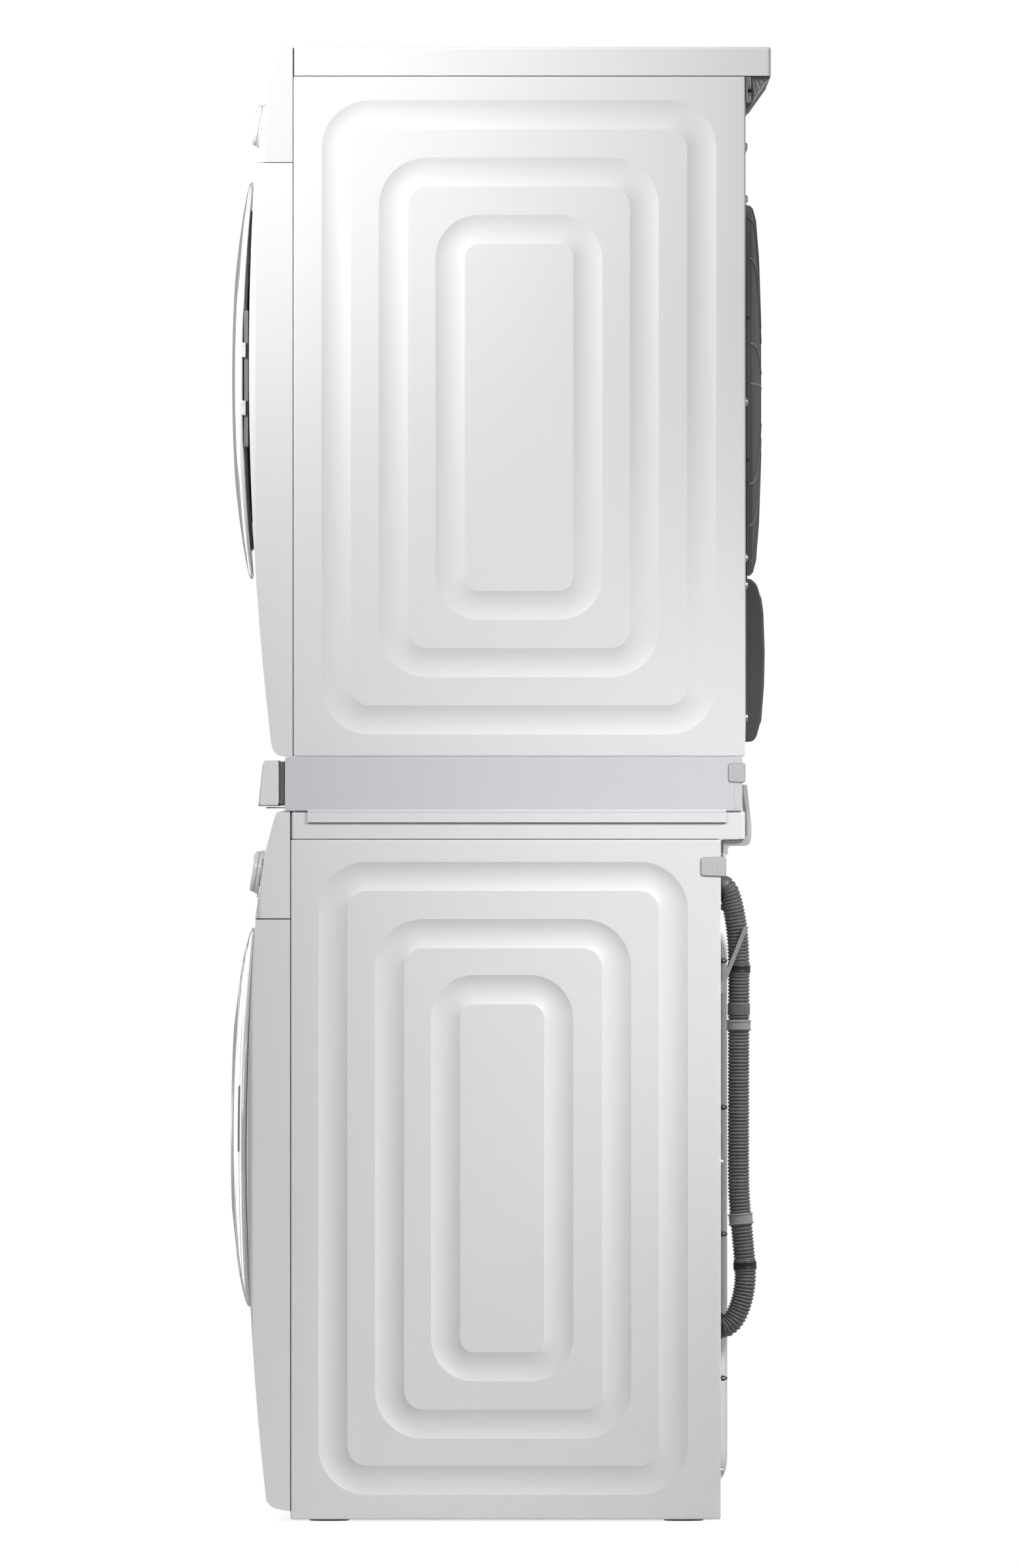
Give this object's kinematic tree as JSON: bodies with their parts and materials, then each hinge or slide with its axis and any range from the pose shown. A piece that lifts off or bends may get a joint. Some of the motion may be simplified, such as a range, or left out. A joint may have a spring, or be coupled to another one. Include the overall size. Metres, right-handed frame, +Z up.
{
  "type": "washer dryer stack",
  "caption": "Front-loading washer with a condensing tumble dryer stacked on it over a kit with a pull-out shelf; white cabinets with pressed sides, round doors and rear drain hose.",
  "frame": {"origin": "centre of the bounding box at floor level, under the levelling feet", "axes": "+Z up; the machines face -Y; +X is to the right of the machines as the user who faces them sees it"},
  "size_m": [0.6, 0.6497, 1.768],
  "materials": {
    "white_enamel": "satin enamel",
    "white_worktop": "white laminate on chipboard, satin",
    "white_plastic": "gloss white",
    "grey_plastic": "fine-grained mid grey",
    "dark_plastic": "moulded dark grey",
    "dark_glass": "tinted, polished",
    "galvanised_steel": "galvanised sheet",
    "hinge_chrome": "polished",
    "stainless_steel": "brushed stainless",
    "condenser_alloy": "satin fins",
    "black_rubber": "matt",
    "grey_rubber": "matt"
  },
  "bodies": {
    "cabinet": {"dryer_base": "galvanised_steel", "dryer_condenser": "condenser_alloy", "dryer_control_panel": "white_plastic", "dryer_drum_belt": "black_rubber", "dryer_front_panel": "white_enamel", "dryer_loading_ring": "grey_plastic", "dryer_motor": "condenser_alloy", "dryer_rear_duct_lower": "dark_plastic", "dryer_rear_duct_upper": "dark_plastic", "dryer_rear_gusset": "grey_plastic", "dryer_rear_panel": "galvanised_steel", "dryer_side_panel_left": "white_enamel", "dryer_side_panel_right": "white_enamel", "dryer_top_cover": "white_worktop", "kit_clip_left": "galvanised_steel", "kit_clip_right": "galvanised_steel", "kit_deck": "white_enamel", "kit_side_left": "white_enamel", "kit_side_right": "white_enamel", "kit_strap_left": "galvanised_steel", "kit_strap_right": "galvanised_steel", "washer_base": "galvanised_steel", "washer_control_panel": "white_plastic", "washer_door_gasket": "grey_rubber", "washer_drain_hose": "dark_plastic", "washer_foot_front_left": "black_rubber", "washer_foot_front_right": "black_rubber", "washer_foot_rear_left": "black_rubber", "washer_foot_rear_right": "black_rubber", "washer_front_panel": "white_enamel", "washer_hose_strap": "grey_plastic", "washer_rear_cover": "white_plastic", "washer_rear_panel": "white_enamel", "washer_side_panel_left": "white_enamel", "washer_side_panel_right": "white_enamel", "washer_top_cover": "white_worktop", "washer_tub": "grey_plastic"},
    "dryer_door": {"dryer_door_frame": "white_plastic", "dryer_door_lens": "dark_glass", "dryer_door_liner": "grey_plastic", "dryer_door_hinge": "hinge_chrome"},
    "washer_door": {"washer_door_frame": "white_plastic", "washer_door_glass": "dark_glass"},
    "dryer_dial": {"dryer_dial_knob": "white_plastic"},
    "washer_dial": {"washer_dial_knob": "white_plastic"},
    "dryer_start": {"dryer_start_button": "grey_plastic"},
    "washer_start": {"washer_start_button": "grey_plastic"},
    "dryer_tank": {"dryer_water_tank": "white_plastic"},
    "washer_drawer": {"washer_detergent_drawer": "white_plastic"},
    "kit_tray": {"kit_shelf": "grey_plastic", "kit_shelf_handle": "grey_plastic"},
    "dryer_drum_body": {"dryer_drum": "stainless_steel"},
    "dryer_pulley": {"dryer_motor_pulley": "galvanised_steel"},
    "washer_drum_body": {"washer_drum": "stainless_steel", "washer_rotor": "galvanised_steel"},
    "dryer_flap": {"dryer_exchanger_flap": "white_plastic"},
    "washer_flap": {"washer_filter_flap": "white_plastic"},
    "drain_filter": {"washer_drain_filter": "dark_plastic"},
    "lint_filter": {"dryer_lint_filter": "dark_plastic"}
  },
  "joints": [
    {"name": "dryer_door_hinge", "type": "hinge", "parent": "cabinet", "child": "dryer_door", "pos_m": [0.246, -0.312, 1.3705], "axis": [0, 0, 1], "range_deg": [0, 165]},
    {"name": "washer_door_hinge", "type": "hinge", "parent": "cabinet", "child": "washer_door", "pos_m": [-0.236, -0.309, 0.4818], "axis": [0, 0, -1], "range_deg": [0, 150]},
    {"name": "dryer_dial_turn", "type": "hinge", "parent": "cabinet", "child": "dryer_dial", "pos_m": [0, -0.2844, 1.6775], "axis": [0, -0.9846, 0.1746], "continuous": true},
    {"name": "washer_dial_turn", "type": "hinge", "parent": "cabinet", "child": "washer_dial", "pos_m": [0, -0.2873, 0.7771], "axis": [0, -0.9875, 0.1577], "continuous": true},
    {"name": "dryer_start_press", "type": "slide", "parent": "cabinet", "child": "dryer_start", "axis": [0, 0.9846, -0.1746], "range_m": [0, 0.0015], "stiffness_N_per_m": 600},
    {"name": "washer_start_press", "type": "slide", "parent": "cabinet", "child": "washer_start", "axis": [0, 0.9875, -0.1577], "range_m": [0, 0.0015], "stiffness_N_per_m": 600},
    {"name": "dryer_tank_slide", "type": "slide", "parent": "cabinet", "child": "dryer_tank", "axis": [0, -1, 0], "range_m": [0, 0.26]},
    {"name": "washer_drawer_slide", "type": "slide", "parent": "cabinet", "child": "washer_drawer", "axis": [0, -1, 0], "range_m": [0, 0.2]},
    {"name": "kit_shelf_slide", "type": "slide", "parent": "cabinet", "child": "kit_tray", "axis": [0, -1, 0], "range_m": [0, 0.32]},
    {"name": "dryer_drum_spin", "type": "hinge", "parent": "cabinet", "child": "dryer_drum_body", "pos_m": [0, 0, 1.3705], "axis": [0, 1, 0], "continuous": true},
    {"name": "dryer_motor_spin", "type": "hinge", "parent": "cabinet", "child": "dryer_pulley", "pos_m": [0.165, 0, 1.01], "axis": [0, 1, 0], "continuous": true},
    {"name": "washer_drum_spin", "type": "hinge", "parent": "cabinet", "child": "washer_drum_body", "pos_m": [0, 0, 0.4818], "axis": [0, 1, 0], "continuous": true},
    {"name": "dryer_flap_hinge", "type": "hinge", "parent": "cabinet", "child": "dryer_flap", "pos_m": [-0.152, -0.27568, 0.9588], "axis": [1, 0, 0], "range_deg": [0, 85]},
    {"name": "washer_flap_hinge", "type": "hinge", "parent": "cabinet", "child": "washer_flap", "pos_m": [0.2, -0.2807, 0.0428], "axis": [1, 0, 0], "range_deg": [0, 85]},
    {"name": "drain_filter_turn", "type": "hinge", "parent": "cabinet", "child": "drain_filter", "pos_m": [0.2, -0.25, 0.095], "axis": [0, -1, 0], "range_deg": [0, 330]},
    {"name": "lint_filter_lift", "type": "slide", "parent": "cabinet", "child": "lint_filter", "axis": [0, 0, 1], "range_m": [0, 0.06]}
  ],
  "couplings": [
    {"joint": "dryer_motor_spin", "follows": "dryer_drum_spin", "ratio": 18.286}
  ]
}
